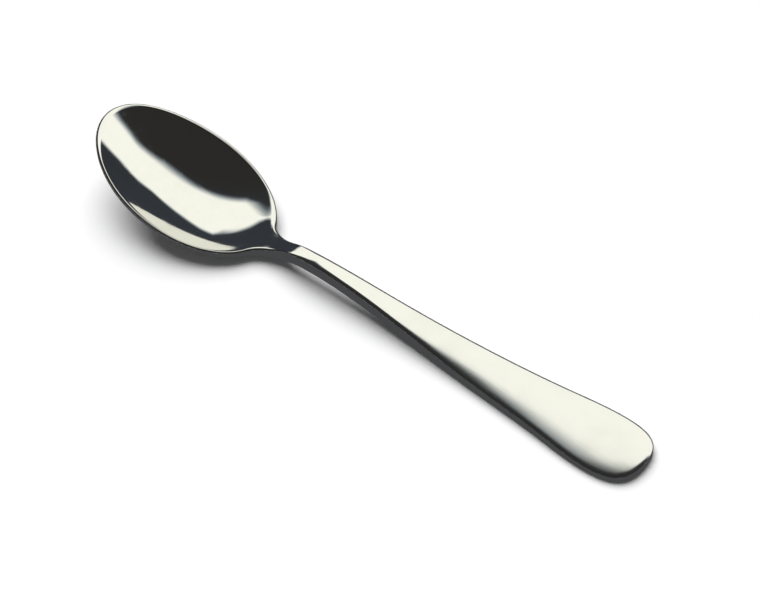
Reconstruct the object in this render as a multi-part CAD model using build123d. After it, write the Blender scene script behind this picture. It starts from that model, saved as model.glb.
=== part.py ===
from build123d import *

import math
import os

# Teaspoon, lying bowl up on a table. Millimetres. The spoon is drawn with X running from the tip of the
# bowl to the end of the handle, Y across it and Z up from the table, then centred on its own length.

# Plan outline
overall_length = 140.0
bowl_length = 43.4
bowl_front_length = 22.0
bowl_width = 28.8
shoulder_length = 1.5
shoulder_ease = 0.9
neck_run = 6.6
neck_width = 3.4
stem_width = 5.7
flare_from_end = 38.0
flare_width = 9.9
rest_width = 13.1
handle_end_length = 9.5
handle_end_fullness = 0.72
handle_width = 15.6

# Side line of the upper edge
rim_tip_rise = 7.7
rim_front_rise = 3.2
rim_back_drop = 3.27
rim_heel_drop = 4.0
neck_foot_run = 3.6
neck_foot_height = 3.98
neck_head_run = 7.6
neck_head_height = 5.24
arch_run = 6.5
arch_height = 5.9
stem_height = 4.3
flare_height = 2.17
rest_from_end = 22.0
handle_end_drop = 0.53

# Section
bowl_depth = 5.2
bowl_wall = 1.0
rim_ease = 0.05
heel_softness = 0.09
neck_thickness = 2.9
neck_crown = 0.2
handle_thickness = 1.75
end_thickness = 1.3
handle_crown = 0.75
edge_round = 0.4

# Where the one formed piece is cut across into its named sections
heel_run = 2.1
stem_run = 4.5
handle_section_length = 36.0

# How finely the curved skins are drawn, and how far past the outline
skin_step = 1.25
skin_rows = 24
skin_margin = 1.2
skin_tolerance = 0.005
skin_degree = 3
slope_step = 0.05
settle_samples = 80
settle_rounds = 12

# Stations along the spoon, worked out from the sizes above
bowl_back_length = bowl_length - bowl_front_length
shoulder_start = bowl_length - shoulder_length
heel_start = bowl_length - bowl_back_length / 3.0
neck_foot = bowl_length + neck_foot_run
neck_head = bowl_length + neck_head_run
neck_position = bowl_length + neck_run
arch_position = neck_position + arch_run
flare_position = overall_length - flare_from_end
stem_position = (arch_position + flare_position) / 2.0
rest_position = overall_length - rest_from_end
handle_widest = overall_length - handle_end_length


def smooth_step(start, end, x):
    """0 before start, 1 after end, an even S between them."""
    share = min(1.0, max(0.0, (x - start) / (end - start)))
    return share * share * (3.0 - 2.0 * share)


def natural_spline(knots):
    """A smooth curve through the knots (x, value), free of bending at both ends, as a function of x."""
    count = len(knots)
    gaps = [knots[i + 1][0] - knots[i][0] for i in range(count - 1)]
    rises = [(knots[i + 1][1] - knots[i][1]) / gaps[i] for i in range(count - 1)]
    pivots = [1.0] * count
    bends = [0.0] * count
    for i in range(1, count - 1):
        weight = gaps[i - 1] / pivots[i - 1] if i > 1 else 0.0
        pivots[i] = 2.0 * (gaps[i - 1] + gaps[i]) - weight * gaps[i - 1]
        bends[i] = 6.0 * (rises[i] - rises[i - 1]) - weight * bends[i - 1]
    for i in range(count - 2, 0, -1):
        follow = gaps[i] * bends[i + 1] if i < count - 2 else 0.0
        bends[i] = (bends[i] - follow) / pivots[i]

    def value(x):
        i = 0
        while i < count - 2 and x > knots[i + 1][0]:
            i += 1
        gap = gaps[i]
        left = knots[i + 1][0] - x
        right = x - knots[i][0]
        straight = (knots[i][1] * left + knots[i + 1][1] * right) / gap
        left_bend = bends[i] * left * (left * left / gap - gap)
        right_bend = bends[i + 1] * right * (right * right / gap - gap)
        return straight + (left_bend + right_bend) / 6.0

    return value


def hollow(x, y):
    """Depth of the bowl's inside below its rim, easing out over the heel into the neck."""
    reach = bowl_front_length if x < bowl_front_length else bowl_back_length
    along = (x - bowl_front_length) / reach
    across = 2.0 * y / bowl_width
    spread = along * along + across * across
    inside = (1.0 - spread) * (1.0 - rim_ease * min(spread, 1.0))
    eased = heel_softness * math.log1p(math.exp(inside / heel_softness))
    heel_share = smooth_step(heel_start, bowl_length, x)
    return bowl_depth * (inside + (eased - inside) * heel_share)


def thickness(x):
    """Thickness of the neck, stem and handle at their edges."""
    handle_share = smooth_step(arch_position, rest_position, x)
    end_share = smooth_step(rest_position, overall_length, x)
    handle_change = (handle_thickness - neck_thickness) * handle_share
    end_change = (end_thickness - handle_thickness) * end_share
    return neck_thickness + handle_change + end_change


def crown(x):
    """How far the middle of the upper face stands above its edges."""
    neck_share = smooth_step(bowl_length, arch_position, x)
    handle_share = smooth_step(arch_position, rest_position, x)
    return neck_crown * neck_share + (handle_crown - neck_crown) * handle_share


def skin_half_width(x):
    """Half the width over which the skins are drawn, a little outside the outline everywhere."""
    bowl_share = 1.0 - smooth_step(heel_start, arch_position, x)
    handle_share = smooth_step(arch_position, handle_widest, x)
    width = neck_width + (bowl_width - neck_width) * bowl_share + (handle_width - neck_width) * handle_share
    return width / 2.0 + skin_margin


def edge_line(rim_side_height, handle_height):
    """Height of the upper edge along the spoon."""
    return natural_spline([
        (0.0, rim_side_height + rim_tip_rise),
        (bowl_front_length / 2.0, rim_side_height + rim_front_rise),
        (bowl_front_length, rim_side_height),
        (heel_start, rim_side_height - rim_back_drop),
        (bowl_length, rim_side_height - rim_heel_drop),
        (neck_foot, neck_foot_height),
        (neck_head, neck_head_height),
        (arch_position, arch_height),
        (stem_position, stem_height),
        (flare_position, flare_height),
        (rest_position, handle_height),
        (overall_length, handle_height - handle_end_drop),
    ])


def upper_height(x, y, edge):
    """The upper face: hollow in the bowl, gently crowned along the handle."""
    across = y / skin_half_width(x)
    return edge(x) - hollow(x, y) + crown(x) * (1.0 - across * across)


def lower_height(x, y, edge):
    """The back: an even wall under the bowl, flat under the rest of the spoon."""
    above = upper_height(x, y, edge)
    slope_x = (upper_height(x + slope_step, y, edge) - above) / slope_step
    slope_y = (upper_height(x, y + slope_step, edge) - above) / slope_step
    bowl_back = above - bowl_wall * math.sqrt(1.0 + slope_x * slope_x + slope_y * slope_y)
    flat_back = edge(x) - thickness(x)
    flat_share = smooth_step((bowl_front_length + bowl_length) / 2.0, neck_position, x)
    return bowl_back + (flat_back - bowl_back) * flat_share


def lowest(edge, start, end):
    """Lowest point of the back along the middle of the spoon between two stations."""
    stations = [start + (end - start) * i / settle_samples for i in range(settle_samples + 1)]
    return min(lower_height(x, 0.0, edge) for x in stations)


def settled_edge():
    """The edge line with both the belly of the bowl and the handle touching the table."""
    rim_side_height = bowl_depth + bowl_wall
    handle_height = handle_thickness
    for _ in range(settle_rounds):
        edge = edge_line(rim_side_height, handle_height)
        rim_side_height -= lowest(edge, 0.0, bowl_length)
        handle_height -= lowest(edge, flare_position, overall_length)
    return edge_line(rim_side_height, handle_height)


def skin(height, edge):
    """A smooth face through heights worked out along and across the spoon."""
    reach = overall_length + 2.0 * skin_margin
    stations = math.ceil(reach / skin_step)
    grid = []
    for i in range(stations + 1):
        x = reach * i / stations - skin_margin
        half = skin_half_width(x)
        ways = [half * (2.0 * j / skin_rows - 1.0) for j in range(skin_rows + 1)]
        grid.append([(x, y, height(x, y, edge)) for y in ways])
    return Face.make_surface_from_array_of_points(
        grid, tol=skin_tolerance, min_deg=skin_degree, max_deg=skin_degree
    )


def formed_strip():
    """The steel between the upper and lower skins, before its outline is cut."""
    edge = settled_edge()
    top = skin(upper_height, edge)
    bottom = skin(lower_height, edge)
    sides = []
    for upper_edge in top.edges():
        middle = upper_edge.center()
        lower_edge = min(bottom.edges(), key=lambda candidate: (candidate.center() - middle).length)
        sides.append(Face.make_surface_from_curves(upper_edge, lower_edge))
    return Solid(Shell([top, bottom] + sides))


def outline():
    """Plan of the whole spoon: an egg-shaped bowl, a narrow neck and a widening handle."""
    half_bowl = bowl_width / 2.0
    centre = (bowl_front_length, 0)
    turn = math.acos((shoulder_start - bowl_front_length) / bowl_back_length)
    shoulder = (shoulder_start, half_bowl * math.sin(turn))
    shoulder_run = (bowl_back_length * math.sin(turn), -half_bowl * math.cos(turn))
    neck = (neck_position, neck_width / 2.0)
    stem = (stem_position, stem_width / 2.0)
    flare = (flare_position, flare_width / 2.0)
    rest = (rest_position, rest_width / 2.0)
    widest = (handle_widest, handle_width / 2.0)
    straight_on = (1, 0)
    back_arc = 90 - math.degrees(turn)
    front = EllipticalCenterArc(centre, bowl_front_length, half_bowl, 90, arc_size=90)
    back = EllipticalCenterArc(centre, bowl_back_length, half_bowl, math.degrees(turn), arc_size=back_arc)
    into_neck = Spline(
        shoulder, neck, tangents=[shoulder_run, straight_on], tangent_scalars=[shoulder_ease, 1]
    )
    flank = Spline(neck, stem, flare, rest, widest, tangents=[straight_on, straight_on])
    rounding = Bezier(
        widest,
        (handle_widest + handle_end_fullness * handle_end_length, widest[1]),
        (overall_length, handle_end_fullness * widest[1]),
        (overall_length, 0),
    )
    far_side = Curve() + [front, back, into_neck, flank, rounding]
    near_side = mirror(far_side, about=Plane.XZ)
    return make_face(far_side.edges() + near_side.edges())


def whole_spoon():
    """The formed strip cut to its outline, with every edge rounded, centred and set on the table."""
    strip = formed_strip()
    reach = strip.bounding_box().size.Z
    cutter = Pos(0, 0, strip.bounding_box().min.Z - reach) * extrude(outline(), 3.0 * reach)
    cut = (strip & cutter).solids()[0]
    outline_edges = [edge for edge in cut.edges() if edge.length > 2.0 * neck_thickness]
    rounded = cut.fillet(edge_round, outline_edges)
    box = rounded.bounding_box()
    return Pos(-overall_length / 2.0, 0, -box.min.Z) * rounded


def section(spoon, start, end):
    """The stretch of the spoon between two cuts across it."""
    block_size = 2.0 * overall_length
    middle = (start + end - overall_length) / 2.0
    return spoon & Pos(middle, 0, 0) * Box(end - start, block_size, block_size)


neck_start = bowl_length + heel_run
stem_start = arch_position + stem_run
handle_start = overall_length - handle_section_length
sections = {
    "bowl": (-skin_margin, neck_start),
    "neck": (neck_start, stem_start),
    "stem": (stem_start, handle_start),
    "handle": (handle_start, overall_length + skin_margin),
}

os.makedirs("parts", exist_ok=True)
spoon = whole_spoon()
for name, (start, end) in sections.items():
    piece = section(spoon, start, end)
    export_step(piece, f"parts/{name}.step")
    print(name, round(piece.volume, 1), piece.is_valid, len(piece.solids()))
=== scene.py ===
"""A polished steel teaspoon on a white table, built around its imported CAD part."""

import math

import bpy
from bpy.props import FloatProperty, FloatVectorProperty, IntProperty, PointerProperty
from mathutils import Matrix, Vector


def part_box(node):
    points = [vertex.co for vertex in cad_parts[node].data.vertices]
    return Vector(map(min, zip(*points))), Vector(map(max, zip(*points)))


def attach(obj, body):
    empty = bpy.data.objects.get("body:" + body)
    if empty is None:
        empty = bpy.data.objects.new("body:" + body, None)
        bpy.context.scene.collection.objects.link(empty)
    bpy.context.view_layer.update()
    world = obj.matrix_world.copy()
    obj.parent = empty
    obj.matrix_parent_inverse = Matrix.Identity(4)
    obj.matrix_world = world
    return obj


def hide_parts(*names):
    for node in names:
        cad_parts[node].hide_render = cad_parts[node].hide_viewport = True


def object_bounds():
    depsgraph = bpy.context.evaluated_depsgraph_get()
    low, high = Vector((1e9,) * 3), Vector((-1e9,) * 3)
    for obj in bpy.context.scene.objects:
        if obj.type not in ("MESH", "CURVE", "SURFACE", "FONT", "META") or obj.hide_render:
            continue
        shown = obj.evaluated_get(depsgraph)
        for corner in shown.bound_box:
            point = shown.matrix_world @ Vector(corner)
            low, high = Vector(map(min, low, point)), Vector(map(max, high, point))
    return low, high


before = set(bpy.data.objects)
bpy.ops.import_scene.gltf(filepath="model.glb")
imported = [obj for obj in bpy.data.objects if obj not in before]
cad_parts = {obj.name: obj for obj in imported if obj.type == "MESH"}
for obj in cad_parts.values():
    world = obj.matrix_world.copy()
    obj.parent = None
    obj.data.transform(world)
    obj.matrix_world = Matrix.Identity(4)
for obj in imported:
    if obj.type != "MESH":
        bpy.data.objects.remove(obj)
cad_low, cad_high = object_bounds()
bowl_low, bowl_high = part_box("bowl")
handle_low, handle_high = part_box("handle")

bl_info = {
    "name": "Teaspoon",
    "version": (1, 0, 0),
    "blender": (4, 5, 0),
    "location": "3D View > Sidebar > Teaspoon",
    "description": "A polished steel teaspoon in four sections, with its table and lights",
    "category": "Object",
}

MILLIMETRE = 0.001
BLANK_NAME = "spoon_blank"
NORMAL_ATTRIBUTE = "formed_normal"
GLOW_ATTRIBUTE = "glow"

# How closely places are searched for, matched and merged, in metres where they are lengths
SEARCH_ROUNDS = 50
KEYS_PER_METRE = 1.0e7
MERGE_DISTANCE = 2.0e-6
CUT_TOLERANCE = 1.0e-6

# A place along the part, in metres, that lies well past its end
PAST_THE_END = 1.0


def length(name, description, millimetres):
    """A size of the spoon or the studio, kept in metres."""
    return FloatProperty(
        name=name,
        description=description,
        default=millimetres * MILLIMETRE,
        subtype="DISTANCE",
        unit="LENGTH",
        precision=5,
    )


def share(name, description, value):
    """A plain number between nothing and all."""
    return FloatProperty(name=name, description=description, default=value, min=0.0, max=1.0)


def angle(name, description, degrees):
    """A direction or spread, kept in radians."""
    return FloatProperty(
        name=name,
        description=description,
        default=math.radians(degrees),
        subtype="ANGLE",
        unit="ROTATION",
    )


def colour(name, description, value):
    """A plain colour."""
    return FloatVectorProperty(
        name=name,
        description=description,
        default=value,
        size=3,
        min=0.0,
        max=1.0,
        subtype="COLOR",
    )


class TeaspoonSizes(bpy.types.PropertyGroup):
    """The sizes that give the spoon its form."""

    overall_length: length(
        "Overall length", "Tip of the bowl to the end of the handle", (cad_high.x - cad_low.x) / MILLIMETRE
    )
    bowl_length: length("Bowl length", "Tip of the bowl to its heel", 43.4)
    bowl_front: length("Bowl front", "Tip of the bowl to its widest place", 22.0)
    bowl_width: length(
        "Bowl width", "Across the bowl at its widest", (bowl_high.y - bowl_low.y) / MILLIMETRE
    )
    bowl_depth: length("Bowl depth", "Rim to the floor of the bowl", 5.2)
    bowl_wall: length("Bowl wall", "Thickness of the bowl", 1.0)
    rim_ease: share("Rim ease", "How much the wall of the bowl eases off towards its rim", 0.05)
    shoulder_length: length("Shoulder", "How far before the heel the bowl leaves its oval", 1.5)
    shoulder_ease: share("Shoulder ease", "How straight the bowl runs on at its shoulder", 0.9)
    heel_softness: share("Heel softness", "How gently the hollow runs out over the heel", 0.09)
    neck_run: length("Neck run", "Heel to the narrowest place of the neck", 6.6)
    neck_foot_run: length("Neck foot run", "Heel to the foot of the neck's rise", 3.6)
    neck_head_run: length("Neck head run", "Heel to the head of the neck's rise", 7.6)
    neck_width: length("Neck width", "Across the neck at its narrowest", 3.4)
    neck_thickness: length("Neck thickness", "Thickness of the neck", 2.9)
    neck_crown: length("Neck crown", "How far the middle of the neck stands above its edges", 0.2)
    arch_run: length("Arch run", "Narrowest place of the neck to the top of the arch", 6.5)
    stem_width: length("Stem width", "Across the stem at its middle", 5.7)
    flare_from_end: length("Flare", "Start of the flare, from the end of the handle", 38.0)
    flare_width: length("Flare width", "Across the handle where it starts to flare", 9.9)
    rest_from_end: length("Rest", "Where the handle comes down to the table, from its end", 22.0)
    rest_width: length("Rest width", "Across the handle where it comes down to the table", 13.1)
    end_length: length("End length", "Length of the rounded end", 9.5)
    end_fullness: share("End fullness", "How square the rounded end is", 0.72)
    handle_width: length(
        "Handle width", "Across the handle at its widest", (handle_high.y - handle_low.y) / MILLIMETRE
    )
    handle_thickness: length("Handle thickness", "Thickness of the handle at its edges", 1.75)
    end_thickness: length("End thickness", "Thickness of the handle at its end", 1.3)
    handle_crown: length("Handle crown", "How far the middle of the handle stands above its edges", 0.75)
    edge_round: length("Edge round", "Radius of every polished edge", 0.4)
    handle_edge_ease: FloatProperty(
        name="Handle edge ease",
        description="How many times wider than high the handle's upper edges are rounded",
        default=2.2,
    )
    crown_margin: length("Crown margin", "How far outside the edges the crowns are measured", 1.2)
    tip_height: length("Tip height", "Upper edge above the table at the tip of the bowl", 15.1248)
    front_height: length("Front height", "Upper edge above the table half way to the widest place", 10.6248)
    side_height: length("Side height", "Upper edge above the table at the widest place", 7.4248)
    back_height: length("Back height", "Upper edge above the table a third before the heel", 4.1548)
    heel_height: length("Heel height", "Upper edge above the table at the heel", 3.4248)
    foot_height: length("Foot height", "Upper edge above the table at the foot of the neck's rise", 3.98)
    head_height: length("Head height", "Upper edge above the table at the head of the neck's rise", 5.24)
    arch_height: length("Arch height", "Upper edge above the table at the top of the arch", 5.9)
    stem_height: length("Stem height", "Upper edge above the table at the middle of the stem", 4.3)
    flare_height: length("Flare height", "Upper edge above the table at the flare", 2.17)
    rest_height: length("Rest height", "Upper edge above the table where the handle comes down to it", 1.83)
    end_height: length("End height", "Upper edge above the table at the end of the handle", 1.3)
    heel_run: length("Heel run", "Heel to the cut between bowl and neck", 2.1)
    stem_run: length("Stem run", "Top of the arch to the cut between neck and stem", 4.5)
    handle_section: length("Handle section", "Cut between stem and handle, from the end", 36.0)
    columns: IntProperty(name="Columns", description="Faces across the spoon", default=48, min=8)
    round_steps: IntProperty(name="Round steps", description="Faces round each edge", default=6, min=2)
    row_step: length("Row step", "Distance from row to row along the spoon", 0.7)


class TeaspoonFinish(bpy.types.PropertyGroup):
    """The colours and polish of the steel."""

    steel: colour("Steel", "Colour of the polished steel", (0.80, 0.795, 0.755))
    dull_steel: colour("Dull steel", "Colour of the steel under finger marks", (0.70, 0.69, 0.65))
    bowl_roughness: share("Bowl roughness", "Roughness of the mirror polish", 0.045)
    handle_roughness: share("Handle roughness", "Roughness of the softer polish", 0.16)
    scratch_depth: share("Scratch depth", "Strength of the fine scratches", 0.05)
    scratch_relief: length("Scratch relief", "Height over which the scratches bend the light", 0.02)
    scratch_roughness: share("Scratch roughness", "How much rougher the scratches are", 0.05)
    smudge_depth: share("Smudge depth", "Strength of the finger marks", 0.3)
    smudge_roughness: share("Smudge roughness", "How much rougher the finger marks are", 0.05)


class TeaspoonStudio(bpy.types.PropertyGroup):
    """The camera, the lights and the cards round the table."""

    camera_azimuth: angle("Camera azimuth", "Turn of the camera from the front of the spoon", 37.86)
    camera_elevation: angle("Camera elevation", "Camera above the table", 48.29)
    camera_distance: length("Camera distance", "Camera to the middle of the view", 600.0)
    camera_lens: FloatProperty(
        name="Camera lens", description="Focal length", default=136.9, subtype="DISTANCE_CAMERA"
    )
    camera_nearest: length("Camera nearest", "Nearest distance that the camera shows", 10.0)
    view_x: length("View x", "Middle of the view along the spoon", 2.53)
    view_y: length("View y", "Middle of the view across the spoon", 1.7)
    table_size: length("Table size", "Side of the white table", 4000.0)
    table_colour: colour("Table colour", "Colour of the white table", (0.95, 0.95, 0.95))
    table_roughness: share("Table roughness", "Roughness of the white table", 0.9)
    key_strength: FloatProperty(name="Key strength", description="Strength of the key light", default=3.8)
    key_spread: angle("Key spread", "Softness of the key light", 60.0)
    key_azimuth: angle("Key azimuth", "Key light, turned from straight behind the spoon", -20.0)
    key_elevation: angle("Key elevation", "Key light above the table", 55.0)
    fill_strength: FloatProperty(name="Fill strength", description="Light from all round", default=0.10)
    panel_height: length("Panel height", "Light panel above the table", 45.0)
    panel_colour: colour("Panel colour", "Colour of the light panel", (1.0, 1.0, 0.92))
    fringe_colour: colour("Fringe colour", "Cold tint where the light panel fades", (0.16, 0.20, 0.24))
    fringe_place: share("Fringe place", "Where the cold tint lies in the fading edge of the panel", 0.4)
    panel_strength: FloatProperty(
        name="Panel strength", description="Brightness of the light panel", default=1.34
    )
    hood_radius: length("Hood radius", "Radius of the dark hood round the studio", 900.0)
    hood_segments: IntProperty(name="Hood segments", description="Faces round the hood", default=72)
    hood_rings: IntProperty(name="Hood rings", description="Faces from pole to pole", default=60)
    hood_colour: colour("Hood colour", "Colour of the dark hood", (0.026, 0.023, 0.020))
    far_hood_colour: colour("Far hood colour", "Colour of the hood's far side", (0.042, 0.051, 0.065))
    flag_length: length("Flag length", "Length of the dark flag under the spoon", 400.0)
    flag_width: length("Flag width", "Width of the dark flag under the spoon", 260.0)
    flag_height: length("Flag height", "The dark flag above the table", 0.05)
    flag_colour: colour("Flag colour", "Colour of the dark flag", (0.075, 0.077, 0.085))


def smooth_step(start, end, x):
    """0 before start, 1 after end, an even S between them."""
    part = min(1.0, max(0.0, (x - start) / (end - start)))
    return part * part * (3.0 - 2.0 * part)


def smooth_curve(knots, level_ends):
    """A smooth curve through the knots (x, value), level or unbent at its ends, as a function of x."""
    count = len(knots)
    gaps = [knots[i + 1][0] - knots[i][0] for i in range(count - 1)]
    rises = [(knots[i + 1][1] - knots[i][1]) / gaps[i] for i in range(count - 1)]
    before = [0.0] * count
    middle = [1.0] * count
    after = [0.0] * count
    wanted = [0.0] * count
    for i in range(1, count - 1):
        before[i] = gaps[i - 1]
        middle[i] = 2.0 * (gaps[i - 1] + gaps[i])
        after[i] = gaps[i]
        wanted[i] = 6.0 * (rises[i] - rises[i - 1])
    if level_ends:
        middle[0] = 2.0 * gaps[0]
        after[0] = gaps[0]
        wanted[0] = 6.0 * rises[0]
        before[-1] = gaps[-1]
        middle[-1] = 2.0 * gaps[-1]
        wanted[-1] = -6.0 * rises[-1]
    for i in range(1, count):
        weight = before[i] / middle[i - 1]
        middle[i] -= weight * after[i - 1]
        wanted[i] -= weight * wanted[i - 1]
    bends = [0.0] * count
    for i in range(count - 1, -1, -1):
        follow = after[i] * bends[i + 1] if i < count - 1 else 0.0
        bends[i] = (wanted[i] - follow) / middle[i]

    def value(x):
        i = 0
        while i < count - 2 and x > knots[i + 1][0]:
            i += 1
        gap = gaps[i]
        left = knots[i + 1][0] - x
        right = x - knots[i][0]
        straight = (knots[i][1] * left + knots[i + 1][1] * right) / gap
        left_bend = bends[i] * left * (left * left / gap - gap)
        right_bend = bends[i + 1] * right * (right * right / gap - gap)
        return straight + (left_bend + right_bend) / 6.0

    return value


def where(function, target, low, high):
    """The place between low and high at which a steadily changing function meets the target."""
    rising = function(high) > function(low)
    for _ in range(SEARCH_ROUNDS):
        middle = (low + high) / 2.0
        if (function(middle) < target) == rising:
            low = middle
        else:
            high = middle
    return (low + high) / 2.0


def cubic_arc(points, t):
    """A place on a curve drawn with two handles."""
    weights = ((1.0 - t) ** 3, 3.0 * t * (1.0 - t) ** 2, 3.0 * t * t * (1.0 - t), t**3)
    x = sum(weight * point[0] for weight, point in zip(weights, points))
    y = sum(weight * point[1] for weight, point in zip(weights, points))
    return x, y


class SpoonForm:
    """The outline and the two faces of the spoon, in metres from the tip of the bowl."""

    # Shares of the half width at which the first and the last row turn their corners
    tip_corner = 0.62
    end_corner = 0.70

    # Shares of the bowl's front, and of the rounded end's length before it, over which the rows bend
    tip_bend = 0.9
    end_bend = 0.6

    # How many edge radii the two formed sheets stop short of the outline
    sheet_gap = 3.0

    # Distance over which slopes are measured
    slope_step = 0.05 * MILLIMETRE

    def __init__(self, sizes):
        self.sizes = sizes
        self.back = sizes.bowl_length - sizes.bowl_front
        self.heel_start = sizes.bowl_length - self.back / 3.0
        self.shoulder = sizes.bowl_length - sizes.shoulder_length
        self.neck = sizes.bowl_length + sizes.neck_run
        self.arch = self.neck + sizes.arch_run
        self.flare = sizes.overall_length - sizes.flare_from_end
        self.stem = (self.arch + self.flare) / 2.0
        self.rest = sizes.overall_length - sizes.rest_from_end
        self.widest = sizes.overall_length - sizes.end_length
        self.neck_cut = sizes.bowl_length + sizes.heel_run
        self.stem_cut = self.arch + sizes.stem_run
        self.handle_cut = sizes.overall_length - sizes.handle_section
        self.sheet_inset = self.sheet_gap * sizes.edge_round
        self.straight_from = sizes.bowl_front * self.tip_bend
        self.straight_to = self.widest - sizes.end_length * self.end_bend
        self.flank = smooth_curve(
            [
                (self.neck, sizes.neck_width / 2.0),
                (self.stem, sizes.stem_width / 2.0),
                (self.flare, sizes.flare_width / 2.0),
                (self.rest, sizes.rest_width / 2.0),
                (self.widest, sizes.handle_width / 2.0),
            ],
            level_ends=True,
        )
        self.edge = smooth_curve(
            [
                (0.0, sizes.tip_height),
                (sizes.bowl_front / 2.0, sizes.front_height),
                (sizes.bowl_front, sizes.side_height),
                (self.heel_start, sizes.back_height),
                (sizes.bowl_length, sizes.heel_height),
                (sizes.bowl_length + sizes.neck_foot_run, sizes.foot_height),
                (sizes.bowl_length + sizes.neck_head_run, sizes.head_height),
                (self.arch, sizes.arch_height),
                (self.stem, sizes.stem_height),
                (self.flare, sizes.flare_height),
                (self.rest, sizes.rest_height),
                (sizes.overall_length, sizes.end_height),
            ],
            level_ends=False,
        )

    def shoulder_arc(self, inset):
        """Handles of the curve that runs from the oval of the bowl into the neck."""
        half = self.sizes.bowl_width / 2.0 - inset
        reach = self.back - inset
        cosine = (self.shoulder - self.sizes.bowl_front) / reach
        sine = math.sqrt(1.0 - cosine * cosine)
        start = Vector((self.shoulder, half * sine))
        end = Vector((self.neck, self.sizes.neck_width / 2.0 - inset))
        run = Vector((reach * sine, -half * cosine)).normalized()
        chord = (end - start).length
        return (
            start,
            start + run * chord * self.sizes.shoulder_ease / 3.0,
            end - Vector((chord / 3.0, 0.0)),
            end,
        )

    def end_arc(self, inset):
        """Handles of the rounded end of the handle."""
        half = self.sizes.handle_width / 2.0 - inset
        reach = self.sizes.end_length - inset
        full = self.sizes.end_fullness
        end = self.sizes.overall_length - inset
        return (
            (self.widest, half),
            (self.widest + full * reach, half),
            (end, full * half),
            (end, 0.0),
        )

    def half_width(self, x, inset):
        """Half the width of the outline, drawn in by the inset."""
        half_bowl = self.sizes.bowl_width / 2.0 - inset
        away = x - self.sizes.bowl_front
        if x < self.shoulder:
            reach = (self.back if away > 0.0 else self.sizes.bowl_front) - inset
            return half_bowl * math.sqrt(max(0.0, 1.0 - (away / reach) ** 2))
        if x < self.neck:
            arc = self.shoulder_arc(inset)
            return cubic_arc(arc, where(lambda t: cubic_arc(arc, t)[0], x, 0.0, 1.0))[1]
        if x < self.widest:
            return self.flank(x) - inset
        arc = self.end_arc(inset)
        return cubic_arc(arc, where(lambda t: cubic_arc(arc, t)[0], x, 0.0, 1.0))[1]

    def edge_ease(self, x):
        """How many times wider than high the upper edge is rounded, once on the bowl and more past it."""
        return 1.0 + (self.sizes.handle_edge_ease - 1.0) * smooth_step(self.neck, self.arch, x)

    def place(self, row, across, inset):
        """Place in plan of a row and a share of the width. Rows bend to follow both ends of the outline."""
        zone, part = row
        if zone == "tip":
            half_bowl = self.sizes.bowl_width / 2.0 - inset
            reach = self.sizes.bowl_front - inset
            corner = self.sizes.bowl_front - reach * math.sqrt(1.0 - self.tip_corner**2)
            bow = self.sizes.bowl_front - reach * math.sqrt(1.0 - (self.tip_corner * across) ** 2)
            x_edge = corner + (self.straight_from - corner) * part
            return x_edge - (corner - bow) * (1.0 - part), across * self.half_width(x_edge, inset)
        if zone == "end":
            arc = self.end_arc(inset)
            corner_width = self.end_corner * (self.sizes.handle_width / 2.0 - inset)

            def height_on_arc(t):
                return cubic_arc(arc, t)[1]

            corner = cubic_arc(arc, where(height_on_arc, corner_width, 0.0, 1.0))[0]
            bow = cubic_arc(arc, where(height_on_arc, abs(across) * corner_width, 0.0, 1.0))[0]
            x_edge = self.straight_to + (corner - self.straight_to) * part
            return x_edge + (bow - corner) * part, across * self.half_width(x_edge, inset)
        return part, across * self.half_width(part, inset)

    def rows(self):
        """Every row from the tip of the bowl to the end of the handle."""
        step = self.sizes.row_step
        tip_rows = math.ceil(self.straight_from / step)
        rows = [("tip", i / tip_rows) for i in range(tip_rows)]
        cuts = (self.straight_from, self.neck_cut, self.stem_cut, self.handle_cut, self.straight_to)
        for start, end in zip(cuts, cuts[1:]):
            count = math.ceil((end - start) / step)
            rows += [("straight", start + (end - start) * i / count) for i in range(count)]
        end_rows = math.ceil((self.sizes.overall_length - self.straight_to) / step)
        rows += [("end", i / end_rows) for i in range(end_rows + 1)]
        return rows

    def hollow(self, x, y):
        """Depth of the inside of the bowl below its rim, easing out over the heel into the neck."""
        sizes = self.sizes
        reach = sizes.bowl_front if x < sizes.bowl_front else self.back
        spread = ((x - sizes.bowl_front) / reach) ** 2 + (2.0 * y / sizes.bowl_width) ** 2
        inside = (1.0 - spread) * (1.0 - sizes.rim_ease * min(spread, 1.0))
        eased = sizes.heel_softness * math.log1p(math.exp(inside / sizes.heel_softness))
        heel_share = smooth_step(self.heel_start, sizes.bowl_length, x)
        return sizes.bowl_depth * (inside + (eased - inside) * heel_share)

    def crown(self, x, y):
        """How far the upper face stands above its edges."""
        sizes = self.sizes
        neck_share = smooth_step(sizes.bowl_length, self.arch, x)
        handle_share = smooth_step(self.arch, self.rest, x)
        middle = sizes.neck_crown * neck_share + (sizes.handle_crown - sizes.neck_crown) * handle_share
        bowl_share = 1.0 - smooth_step(self.heel_start, self.arch, x)
        wide_share = smooth_step(self.arch, self.widest, x)
        width = sizes.neck_width
        width += (sizes.bowl_width - sizes.neck_width) * bowl_share
        width += (sizes.handle_width - sizes.neck_width) * wide_share
        across = y / (width / 2.0 + sizes.crown_margin)
        return middle * (1.0 - across * across)

    def upper(self, x, y):
        """Height of the upper face: hollow in the bowl, gently crowned along the handle."""
        return self.edge(x) - self.hollow(x, y) + self.crown(x, y)

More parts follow.
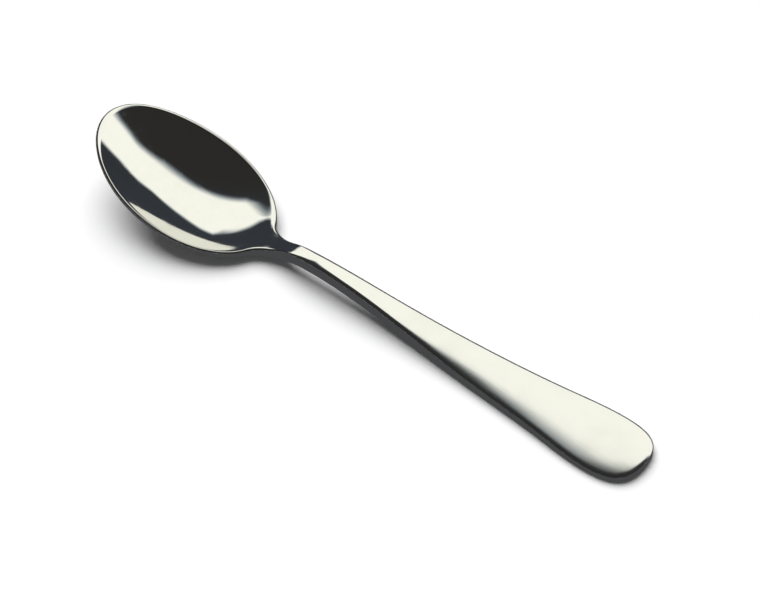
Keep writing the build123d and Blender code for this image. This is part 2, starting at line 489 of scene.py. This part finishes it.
    def lower(self, x, y):
        """Height of the back: an even wall under the bowl, flat under the rest of the spoon."""
        sizes = self.sizes
        slope_x, slope_y = self.slopes(self.upper, x, y)
        bowl_back = self.upper(x, y) - sizes.bowl_wall * math.sqrt(1.0 + slope_x**2 + slope_y**2)
        handle_share = smooth_step(self.arch, self.rest, x)
        end_share = smooth_step(self.rest, sizes.overall_length, x)
        thickness = sizes.neck_thickness
        thickness += (sizes.handle_thickness - sizes.neck_thickness) * handle_share
        thickness += (sizes.end_thickness - sizes.handle_thickness) * end_share
        flat_share = smooth_step((sizes.bowl_front + sizes.bowl_length) / 2.0, self.neck, x)
        return bowl_back + (self.edge(x) - thickness - bowl_back) * flat_share

    def slopes(self, height, x, y):
        """Slope of a face along and across the spoon."""
        step = self.slope_step
        along = (height(x + step, y) - height(x - step, y)) / (2.0 * step)
        across = (height(x, y + step) - height(x, y - step)) / (2.0 * step)
        return along, across

    def station(self, x):
        """A distance from the tip as a place along the part, whose middle is at zero."""
        return x - self.sizes.overall_length / 2.0

    def point(self, x, y, z):
        """A place on the spoon in the part's own frame."""
        return Vector((self.station(x), y, z))


def deselect_all():
    """Leaves nothing selected, so that the next tool acts on the new piece alone."""
    if bpy.context.mode != "OBJECT":
        bpy.ops.object.mode_set(mode="OBJECT")
    bpy.ops.object.select_all(action="DESELECT")


def choose(piece):
    """Selects one piece and makes it the active one."""
    deselect_all()
    piece.select_set(True)
    bpy.context.view_layer.objects.active = piece


def delete_faces(piece, is_unwanted):
    """Deletes the faces of the active piece whose centres pass the test."""
    bpy.ops.object.mode_set(mode="EDIT")
    bpy.ops.mesh.select_mode(type="FACE")
    bpy.ops.mesh.select_all(action="DESELECT")
    bpy.ops.object.mode_set(mode="OBJECT")
    for polygon in piece.data.polygons:
        polygon.select = is_unwanted(polygon.center)
    bpy.ops.object.mode_set(mode="EDIT")
    bpy.ops.mesh.delete(type="FACE")
    bpy.ops.object.mode_set(mode="OBJECT")


def add_sheet(form, rows, height):
    """A grid laid on one face of the spoon, inside its rounded edges."""
    columns = form.sizes.columns
    deselect_all()
    bpy.ops.mesh.primitive_grid_add(x_subdivisions=len(rows) - 1, y_subdivisions=columns, size=2.0)
    sheet = bpy.context.object
    for vertex in sheet.data.vertices:
        row = rows[round((vertex.co.x + 1.0) / 2.0 * (len(rows) - 1))]
        x, y = form.place(row, vertex.co.y, form.sheet_inset)
        vertex.co = form.point(x, y, height(x, y))
    return sheet


def edge_places(form, rows):
    """The rows and shares of the width that run once round the outline."""
    columns = form.sizes.columns
    ways = [2.0 * j / columns - 1.0 for j in range(columns + 1)]
    near = [(row, -1.0) for row in rows]
    end = [(rows[-1], way) for way in ways[1:]]
    far = [(row, 1.0) for row in reversed(rows[:-1])]
    tip = [(rows[0], way) for way in reversed(ways[1:-1])]
    return near + end + far + tip


def rim_rings(form, rows):
    """Rings of points from the edge of the upper sheet, round the rim, to the edge of the lower sheet."""
    places = edge_places(form, rows)
    outline = [form.place(row, way, 0.0) for row, way in places]
    radius = form.sizes.edge_round
    steps = form.sizes.round_steps
    count = len(places)
    rings = [[None] * count for _ in range(2 * steps + 4)]
    for i, (row, way) in enumerate(places):
        ahead = Vector(outline[(i + 1) % count])
        behind = Vector(outline[i - 1])
        run = (ahead - behind).normalized()
        outward = Vector((run.y, -run.x))
        x, y = outline[i]
        for height, side in ((form.upper, 1.0), (form.lower, -1.0)):
            slope = Vector(form.slopes(height, x, y)).dot(outward) * side
            tilt = math.atan(slope)
            reach = radius * form.edge_ease(x) if side > 0.0 else radius
            stops = [(form.sheet_inset, 0.0)]
            for k in range(steps + 1):
                turn = (math.pi / 2.0 + tilt) * (1.0 - k / steps)
                inset = reach * (1.0 - math.cos(turn))
                drop = radius * (slope * math.cos(turn) + 1.0 / math.cos(tilt) - math.sin(turn))
                stops.append((inset, drop))
            for k, (inset, drop) in enumerate(stops):
                px, py = form.place(row, way, inset)
                ring = rings[k] if side > 0.0 else rings[-1 - k]
                ring[i] = form.point(px, py, height(px, py) - side * drop)
    return rings


def key_of(point):
    """A point's place to the nearest hundred nanometres, to find it again."""
    return tuple(round(value * KEYS_PER_METRE) for value in point)


def draw_out_ring(sheet, ring_from, ring_to):
    """Extrudes the open edge of the sheet from one ring to the next."""
    bpy.ops.object.mode_set(mode="EDIT")
    bpy.ops.mesh.select_mode(type="EDGE")
    bpy.ops.mesh.select_all(action="DESELECT")
    bpy.ops.mesh.select_non_manifold(
        extend=False,
        use_wire=False,
        use_boundary=True,
        use_multi_face=False,
        use_non_contiguous=False,
        use_verts=False,
    )
    known = len(sheet.data.vertices)
    bpy.ops.mesh.extrude_edges_move()
    bpy.ops.object.mode_set(mode="OBJECT")
    places = {key_of(point): i for i, point in enumerate(ring_from)}
    for vertex in list(sheet.data.vertices)[known:]:
        vertex.co = ring_to[places[key_of(vertex.co)]]


def form_blank(sizes):
    """The whole spoon in one closed skin: two formed sheets joined round a rounded rim."""
    form = SpoonForm(sizes)
    rows = form.rows()
    upper = add_sheet(form, rows, form.upper)
    rings = rim_rings(form, rows)
    choose(upper)
    for ring_from, ring_to in zip(rings, rings[1:]):
        draw_out_ring(upper, ring_from, ring_to)
    lower = add_sheet(form, rows, form.lower)
    choose(upper)
    lower.select_set(True)
    bpy.ops.object.join()
    blank = bpy.context.object
    blank.name = BLANK_NAME
    bpy.ops.object.mode_set(mode="EDIT")
    bpy.ops.mesh.select_all(action="SELECT")
    bpy.ops.mesh.remove_doubles(threshold=MERGE_DISTANCE)
    bpy.ops.mesh.normals_make_consistent(inside=False)
    bpy.ops.object.mode_set(mode="OBJECT")
    bpy.ops.object.shade_smooth()
    mesh = blank.data
    normals = mesh.attributes.new(NORMAL_ATTRIBUTE, "FLOAT_VECTOR", "POINT")
    for i, normal in enumerate(mesh.vertex_normals):
        normals.data[i].vector = normal.vector


def cut_section(name, node, start, end, material):
    """A closed stretch of the blank between two cuts, lit as if it were never cut."""
    blank = bpy.data.objects[BLANK_NAME]
    piece = blank.copy()
    piece.data = blank.data.copy()
    piece.name = name
    piece.data.name = name
    bpy.context.scene.collection.objects.link(piece)
    choose(piece)
    delete_faces(piece, lambda centre: not start < centre.x < end)
    formed_faces = len(piece.data.polygons)
    for cut in (start, end):
        if not cad_low.x < cut < cad_high.x:
            continue
        for vertex in piece.data.vertices:
            vertex.select = False
        for edge in piece.data.edges:
            first, second = (piece.data.vertices[index].co for index in edge.vertices)
            edge.select = abs((first.x + second.x) / 2.0 - cut) < CUT_TOLERANCE
        bpy.ops.object.mode_set(mode="EDIT")
        bpy.ops.mesh.select_mode(type="EDGE")
        bpy.ops.mesh.edge_face_add()
        bpy.ops.object.mode_set(mode="OBJECT")
    mesh = piece.data
    stored = mesh.attributes[NORMAL_ATTRIBUTE].data
    corner_normals = []
    for polygon in mesh.polygons:
        is_cap = polygon.index >= formed_faces
        polygon.use_smooth = not is_cap
        for vertex in polygon.vertices:
            corner_normals.append(polygon.normal.copy() if is_cap else Vector(stored[vertex].vector))
    mesh.normals_split_custom_set(corner_normals)
    mesh.attributes.remove(mesh.attributes[NORMAL_ATTRIBUTE])
    mesh.materials.clear()
    mesh.materials.append(material)
    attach(piece, "root")
    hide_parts(node)


def add_node(tree, kind, inputs=None, **settings):
    """A shader node with its settings and plain inputs."""
    node = tree.nodes.new(kind)
    for setting, value in settings.items():
        setattr(node, setting, value)
    for socket, value in (inputs or {}).items():
        node.inputs[socket].default_value = value
    return node


def soft_mask(tree, value, low, high):
    """A mask that is 0 where the value is below low, 1 where it is above high, and soft between them."""
    mask = add_node(
        tree,
        "ShaderNodeMapRange",
        {"From Min": low, "From Max": high, "To Min": 0.0, "To Max": 1.0},
        interpolation_type="SMOOTHSTEP",
    )
    tree.links.new(value, mask.inputs["Value"])
    return mask.outputs["Result"]


def polish_marks_group():
    """Fine scratches and finger marks of used polished steel."""
    name = "polish_marks"
    if name in bpy.data.node_groups:
        return bpy.data.node_groups[name]
    tree = bpy.data.node_groups.new(name, "ShaderNodeTree")
    sockets = tree.interface
    sockets.new_socket("Place", in_out="INPUT", socket_type="NodeSocketVector")
    for socket, value in (("Mark size", 900.0), ("Scratch length", 9.0)):
        sockets.new_socket(socket, in_out="INPUT", socket_type="NodeSocketFloat").default_value = value
    for socket in ("Scratches", "Smudges"):
        sockets.new_socket(socket, in_out="OUTPUT", socket_type="NodeSocketFloat")
    inlet = add_node(tree, "NodeGroupInput")
    outlet = add_node(tree, "NodeGroupOutput")
    link = tree.links.new

    stretched = add_node(tree, "ShaderNodeCombineXYZ", {"Y": 1.0, "Z": 1.0})
    shorten = add_node(tree, "ShaderNodeMath", {0: 1.0}, operation="DIVIDE")
    link(inlet.outputs["Scratch length"], shorten.inputs[1])
    link(shorten.outputs[0], stretched.inputs["X"])
    along = add_node(tree, "ShaderNodeVectorMath", operation="MULTIPLY")
    link(inlet.outputs["Place"], along.inputs[0])
    link(stretched.outputs[0], along.inputs[1])
    lines = add_node(tree, "ShaderNodeTexNoise", {"Detail": 3.0, "Roughness": 0.6})
    link(along.outputs[0], lines.inputs["Vector"])
    link(inlet.outputs["Mark size"], lines.inputs["Scale"])
    scratches = soft_mask(tree, lines.outputs["Fac"], low=0.50, high=0.78)
    link(scratches, outlet.inputs["Scratches"])

    # The finger marks are drawn much coarser than the scratches
    coarseness = 0.16
    coarser = add_node(tree, "ShaderNodeMath", {1: coarseness}, operation="MULTIPLY")
    link(inlet.outputs["Mark size"], coarser.inputs[0])
    cloud = add_node(tree, "ShaderNodeTexNoise", {"Detail": 6.0, "Roughness": 0.62})
    link(inlet.outputs["Place"], cloud.inputs["Vector"])
    link(coarser.outputs[0], cloud.inputs["Scale"])
    smudges = soft_mask(tree, cloud.outputs["Fac"], low=0.38, high=0.72)
    link(smudges, outlet.inputs["Smudges"])
    return tree


def steel_material(name, context):
    """Polished steel with the marks of use, softer from the neck to where the handle rests."""
    if name in bpy.data.materials:
        return bpy.data.materials[name]
    finish = context.scene.teaspoon_finish
    form = SpoonForm(context.scene.teaspoon_sizes)
    material = bpy.data.materials.new(name)
    material.use_nodes = True
    tree = material.node_tree
    tree.nodes.clear()
    link = tree.links.new
    output = add_node(tree, "ShaderNodeOutputMaterial")
    shader = add_node(tree, "ShaderNodeBsdfPrincipled", {"Metallic": 1.0})
    link(shader.outputs["BSDF"], output.inputs["Surface"])
    place = add_node(tree, "ShaderNodeTexCoord")
    marks = add_node(tree, "ShaderNodeGroup", node_tree=polish_marks_group())
    link(place.outputs["Object"], marks.inputs["Place"])

    tint = add_node(tree, "ShaderNodeMix", data_type="RGBA")
    tint.inputs["A"].default_value = (*finish.steel, 1.0)
    tint.inputs["B"].default_value = (*finish.dull_steel, 1.0)
    soften = add_node(tree, "ShaderNodeMath", {1: finish.smudge_depth}, operation="MULTIPLY")
    link(marks.outputs["Smudges"], soften.inputs[0])
    link(soften.outputs[0], tint.inputs["Factor"])
    link(tint.outputs["Result"], shader.inputs["Base Color"])

    apart = add_node(tree, "ShaderNodeSeparateXYZ")
    link(place.outputs["Object"], apart.inputs[0])
    polish = add_node(
        tree,
        "ShaderNodeMapRange",
        {
            "From Min": form.station(form.neck),
            "From Max": form.station(form.rest),
            "To Min": finish.bowl_roughness,
            "To Max": finish.handle_roughness,
        },
        interpolation_type="SMOOTHSTEP",
    )
    link(apart.outputs["X"], polish.inputs["Value"])
    rubbed = add_node(tree, "ShaderNodeMath", {1: finish.scratch_roughness}, operation="MULTIPLY_ADD")
    link(marks.outputs["Scratches"], rubbed.inputs[0])
    link(polish.outputs["Result"], rubbed.inputs[2])
    clouded = add_node(tree, "ShaderNodeMath", {1: finish.smudge_roughness}, operation="MULTIPLY_ADD")
    link(soften.outputs[0], clouded.inputs[0])
    link(rubbed.outputs[0], clouded.inputs[2])
    link(clouded.outputs[0], shader.inputs["Roughness"])

    relief = add_node(
        tree,
        "ShaderNodeBump",
        {"Strength": finish.scratch_depth, "Distance": finish.scratch_relief},
        invert=True,
    )
    link(marks.outputs["Scratches"], relief.inputs["Height"])
    link(relief.outputs["Normal"], shader.inputs["Normal"])
    return material


class TEASPOON_OT_form_blank(bpy.types.Operator):
    """Forms the whole spoon in one skin, from which the sections are cut"""

    bl_idname = "teaspoon.form_blank"
    bl_label = "Form the blank"

    def execute(self, context):
        form_blank(context.scene.teaspoon_sizes)
        return {"FINISHED"}


class TEASPOON_OT_cut_bowl(bpy.types.Operator):
    """Cuts the bowl with its heel from the blank"""

    bl_idname = "teaspoon.cut_bowl"
    bl_label = "Bowl"

    def execute(self, context):
        form = SpoonForm(context.scene.teaspoon_sizes)
        end = form.station(form.neck_cut)
        steel = steel_material("mirror_polish", context)
        cut_section("spoon_bowl", "bowl", -PAST_THE_END, end, steel)
        return {"FINISHED"}


class TEASPOON_OT_cut_neck(bpy.types.Operator):
    """Cuts the narrow neck from the blank"""

    bl_idname = "teaspoon.cut_neck"
    bl_label = "Neck"

    def execute(self, context):
        form = SpoonForm(context.scene.teaspoon_sizes)
        start = form.station(form.neck_cut)
        end = form.station(form.stem_cut)
        steel = steel_material("mirror_polish", context)
        cut_section("spoon_neck", "neck", start, end, steel)
        return {"FINISHED"}


class TEASPOON_OT_cut_stem(bpy.types.Operator):
    """Cuts the arched stem from the blank"""

    bl_idname = "teaspoon.cut_stem"
    bl_label = "Stem"

    def execute(self, context):
        form = SpoonForm(context.scene.teaspoon_sizes)
        start = form.station(form.stem_cut)
        end = form.station(form.handle_cut)
        steel = steel_material("soft_polish", context)
        cut_section("spoon_stem", "stem", start, end, steel)
        return {"FINISHED"}


class TEASPOON_OT_cut_handle(bpy.types.Operator):
    """Cuts the wide handle from the blank"""

    bl_idname = "teaspoon.cut_handle"
    bl_label = "Handle"

    def execute(self, context):
        form = SpoonForm(context.scene.teaspoon_sizes)
        start = form.station(form.handle_cut)
        steel = steel_material("soft_polish", context)
        cut_section("spoon_handle", "handle", start, PAST_THE_END, steel)
        return {"FINISHED"}


class TEASPOON_OT_clear_blank(bpy.types.Operator):
    """Takes away the blank once its sections are cut"""

    bl_idname = "teaspoon.clear_blank"
    bl_label = "Clear the blank"

    def execute(self, context):
        choose(bpy.data.objects[BLANK_NAME])
        bpy.ops.object.delete()
        return {"FINISHED"}


def only_in_reflections(card):
    """A studio card that the steel mirrors, but that neither lights the table nor shows in a picture."""
    card.visible_camera = False
    card.visible_diffuse = False
    card.visible_transmission = False
    card.visible_volume_scatter = False
    card.visible_shadow = False


def glow_material(name, glow, strength):
    """An evenly bright or dark card."""
    material = bpy.data.materials.new(name)
    material.use_nodes = True
    tree = material.node_tree
    tree.nodes.clear()
    output = add_node(tree, "ShaderNodeOutputMaterial")
    emission = add_node(tree, "ShaderNodeEmission", {"Color": (*glow, 1.0), "Strength": strength})
    emission.name = "glow"
    tree.links.new(emission.outputs[0], output.inputs["Surface"])
    return material


def fading_glow_material(name, low, high, strength, between=()):
    """A card that passes softly from its low to its high shade as its glow attribute rises from 0 to 1."""
    material = glow_material(name, high, strength)
    tree = material.node_tree
    brightness = add_node(tree, "ShaderNodeAttribute", attribute_name=GLOW_ATTRIBUTE)
    ramp = add_node(tree, "ShaderNodeValToRGB")
    ramp.color_ramp.interpolation = "B_SPLINE"
    stops = ramp.color_ramp.elements
    stops[0].color = (*low, 1.0)
    stops[1].color = (*high, 1.0)
    for place, shade in between:
        stop = stops.new(place)
        stop.color = (*shade, 1.0)
    tree.links.new(brightness.outputs["Fac"], ramp.inputs["Fac"])
    tree.links.new(ramp.outputs["Color"], tree.nodes["glow"].inputs["Color"])
    return material


def add_table(studio):
    """The plain white table."""
    deselect_all()
    bpy.ops.mesh.primitive_plane_add(size=studio.table_size)
    table = bpy.context.object
    table.name = "table"
    material = bpy.data.materials.new("white_table")
    material.use_nodes = True
    shader = material.node_tree.nodes["Principled BSDF"]
    shader.inputs["Base Color"].default_value = (*studio.table_colour, 1.0)
    shader.inputs["Roughness"].default_value = studio.table_roughness
    shader.inputs["Specular IOR Level"].default_value = 0.0
    table.data.materials.append(material)


def turn_with_camera(card, studio):
    """Turns a card so that its y axis points away from the camera."""
    card.rotation_euler.z = studio.camera_azimuth
    bpy.context.view_layer.update()
    choose(card)
    bpy.ops.object.transform_apply(location=False, rotation=True, scale=False)


def add_card(name, studio, height, outer, inner):
    """A card drawn by two lines in millimetres, dark along the outer and glowing inside the inner one."""
    deselect_all()
    bpy.ops.mesh.primitive_circle_add(vertices=len(outer), radius=1.0, fill_type="NGON")
    card = bpy.context.object
    card.name = name
    bpy.ops.object.mode_set(mode="EDIT")
    bpy.ops.mesh.inset(thickness=0.5)
    bpy.ops.object.mode_set(mode="OBJECT")
    mesh = card.data
    brightness = mesh.attributes.new(GLOW_ATTRIBUTE, "FLOAT", "POINT")
    count = len(outer)
    spokes = sorted(mesh.vertices, key=lambda vertex: vertex.co.length)
    for vertices, line, value in ((spokes[:count], inner, 1.0), (spokes[count:], outer, 0.0)):
        turned = sorted(vertices, key=lambda vertex: math.atan2(vertex.co.y, vertex.co.x))
        for vertex, (x, y) in zip(turned, line):
            brightness.data[vertex.index].value = value
            vertex.co = (x * MILLIMETRE, y * MILLIMETRE, height)
    turn_with_camera(card, studio)
    fringe = (studio.fringe_place, studio.fringe_colour)
    material = fading_glow_material(
        name, studio.hood_colour, studio.panel_colour, studio.panel_strength, between=[fringe]
    )
    mesh.materials.append(material)
    only_in_reflections(card)


def add_panel(studio):
    """The light panel above and behind the spoon, mirrored as the broad pale bands."""
    outer = (
        (-58, 65), (-51, 45), (-46, 40), (-33, 39), (-26, 37), (-20, 38), (-16, 39), (-14, 32), (-9, 22),
        (0, 15), (7, 9), (16, 6), (21, 4), (25, -3), (30, -13), (37, -21), (50, -22), (60, -20),
        (200, -20), (200, 70), (30, 70), (7, 72), (1, 79), (-5, 79), (-9, 92), (-16, 119), (-23, 128),
        (-30, 108), (-42, 85), (-53, 70),
    )
    inner = (
        (-53, 62), (-49, 56), (-45, 44), (-33, 43), (-26, 43), (-19, 42), (-13, 43), (-11, 34), (-6, 24),
        (2, 18), (8, 12), (17, 9), (23, 7), (28, 4), (36, -3), (42, -9), (51, -19), (58, -16), (190, -16),
        (190, 64), (30, 63), (3, 66), (-1, 72), (-7, 72), (-12, 82), (-19, 99), (-25, 106), (-33, 80),
        (-42, 73), (-50, 62),
    )
    add_card("light_panel", studio, studio.panel_height, outer, inner)


def add_hood(studio):
    """The dark hood of the studio, mirrored as the charcoal parts of the steel."""
    deselect_all()
    bpy.ops.mesh.primitive_uv_sphere_add(
        segments=studio.hood_segments, ring_count=studio.hood_rings, radius=studio.hood_radius
    )
    hood = bpy.context.object
    hood.name = "dark_hood"
    delete_faces(hood, lambda centre: centre.z < 0.0)
    brightness = hood.data.attributes.new(GLOW_ATTRIBUTE, "FLOAT", "POINT")
    for vertex in hood.data.vertices:
        brightness.data[vertex.index].value = max(0.0, vertex.co.y / studio.hood_radius)
    turn_with_camera(hood, studio)
    material = fading_glow_material("dark_hood", studio.hood_colour, studio.far_hood_colour, 1.0)
    hood.data.materials.append(material)
    only_in_reflections(hood)


def add_flag(studio):
    """A dark flag lying on the table, mirrored in the edges and the back of the spoon."""
    deselect_all()
    bpy.ops.mesh.primitive_plane_add(size=1.0)
    flag = bpy.context.object
    flag.name = "dark_flag"
    for vertex in flag.data.vertices:
        x = math.copysign(studio.flag_length / 2.0, vertex.co.x)
        y = math.copysign(studio.flag_width / 2.0, vertex.co.y)
        vertex.co = (x, y, studio.flag_height)
    flag.data.materials.append(glow_material("dark_flag", studio.flag_colour, 1.0))
    only_in_reflections(flag)


def add_key_light(studio):
    """The key light, whose soft shadow falls towards the camera."""
    light = bpy.data.lights.new("key_light", "SUN")
    light.energy = studio.key_strength
    light.angle = studio.key_spread
    lamp = bpy.data.objects.new("key_light", light)
    bpy.context.scene.collection.objects.link(lamp)
    bearing = studio.camera_azimuth - studio.key_azimuth
    flat = math.cos(studio.key_elevation)
    towards = Vector(
        (-math.sin(bearing) * flat, math.cos(bearing) * flat, math.sin(studio.key_elevation))
    )
    lamp.rotation_euler = towards.to_track_quat("Z", "Y").to_euler()
    lamp.visible_glossy = False


def add_surroundings(studio):
    """White all round for the picture and the reflections, and a weak even fill for the table."""
    world = bpy.data.worlds.new("studio")
    bpy.context.scene.world = world
    world.use_nodes = True
    tree = world.node_tree
    background = tree.nodes["Background"]
    background.inputs["Color"].default_value = (1.0, 1.0, 1.0, 1.0)
    path = add_node(tree, "ShaderNodeLightPath")
    seen = add_node(tree, "ShaderNodeMath", operation="MAXIMUM")
    tree.links.new(path.outputs["Is Camera Ray"], seen.inputs[0])
    tree.links.new(path.outputs["Is Glossy Ray"], seen.inputs[1])
    through = add_node(tree, "ShaderNodeMath", operation="MAXIMUM")
    tree.links.new(seen.outputs[0], through.inputs[0])
    tree.links.new(path.outputs["Is Transmission Ray"], through.inputs[1])
    strength = add_node(tree, "ShaderNodeMapRange", {"To Min": studio.fill_strength, "To Max": 1.0})
    tree.links.new(through.outputs[0], strength.inputs["Value"])
    tree.links.new(strength.outputs["Result"], background.inputs["Strength"])


def add_camera(studio):
    """The camera at the photograph's viewing angle."""
    camera = bpy.data.cameras.new("camera")
    camera.lens = studio.camera_lens
    camera.clip_start = studio.camera_nearest
    holder = bpy.data.objects.new("camera", camera)
    bpy.context.scene.collection.objects.link(holder)
    flat = math.cos(studio.camera_elevation)
    back = Vector(
        (
            math.sin(studio.camera_azimuth) * flat,
            -math.cos(studio.camera_azimuth) * flat,
            math.sin(studio.camera_elevation),
        )
    )
    holder.location = Vector((studio.view_x, studio.view_y, 0.0)) + back * studio.camera_distance
    holder.rotation_euler = back.to_track_quat("Z", "Y").to_euler()
    bpy.context.scene.camera = holder


class TEASPOON_OT_set_stage(bpy.types.Operator):
    """Sets the white table, the lights, the studio cards and the camera"""

    bl_idname = "teaspoon.set_stage"
    bl_label = "Stage"

    def execute(self, context):
        studio = context.scene.teaspoon_studio
        add_table(studio)
        add_panel(studio)
        add_hood(studio)
        add_flag(studio)
        add_key_light(studio)
        add_surroundings(studio)
        add_camera(studio)
        context.scene.view_settings.view_transform = "Standard"
        return {"FINISHED"}


OPERATORS = (
    TEASPOON_OT_form_blank,
    TEASPOON_OT_cut_bowl,
    TEASPOON_OT_cut_neck,
    TEASPOON_OT_cut_stem,
    TEASPOON_OT_cut_handle,
    TEASPOON_OT_clear_blank,
    TEASPOON_OT_set_stage,
)


class TEASPOON_PT_sidebar(bpy.types.Panel):
    """Lists the steps that make the teaspoon"""

    bl_idname = "TEASPOON_PT_sidebar"
    bl_label = "Teaspoon"
    bl_space_type = "VIEW_3D"
    bl_region_type = "UI"
    bl_category = "Teaspoon"

    def draw(self, context):
        for operator in OPERATORS:
            self.layout.operator(operator.bl_idname)


PROPERTY_GROUPS = {
    "teaspoon_sizes": TeaspoonSizes,
    "teaspoon_finish": TeaspoonFinish,
    "teaspoon_studio": TeaspoonStudio,
}


def register():
    """Makes the properties, operators and panel known."""
    for name, group in PROPERTY_GROUPS.items():
        bpy.utils.register_class(group)
        setattr(bpy.types.Scene, name, PointerProperty(type=group))
    for operator in OPERATORS:
        bpy.utils.register_class(operator)
    bpy.utils.register_class(TEASPOON_PT_sidebar)


def unregister():
    """Takes the panel, operators and properties away again."""
    bpy.utils.unregister_class(TEASPOON_PT_sidebar)
    for operator in reversed(OPERATORS):
        bpy.utils.unregister_class(operator)
    for name, group in reversed(PROPERTY_GROUPS.items()):
        delattr(bpy.types.Scene, name)
        bpy.utils.unregister_class(group)


def main():
    """Makes the whole teaspoon and its stage."""
    register()
    bpy.ops.teaspoon.form_blank()
    bpy.ops.teaspoon.cut_bowl()
    bpy.ops.teaspoon.cut_neck()
    bpy.ops.teaspoon.cut_stem()
    bpy.ops.teaspoon.cut_handle()
    bpy.ops.teaspoon.clear_blank()
    bpy.ops.teaspoon.set_stage()


if __name__ == "__main__":
    main()
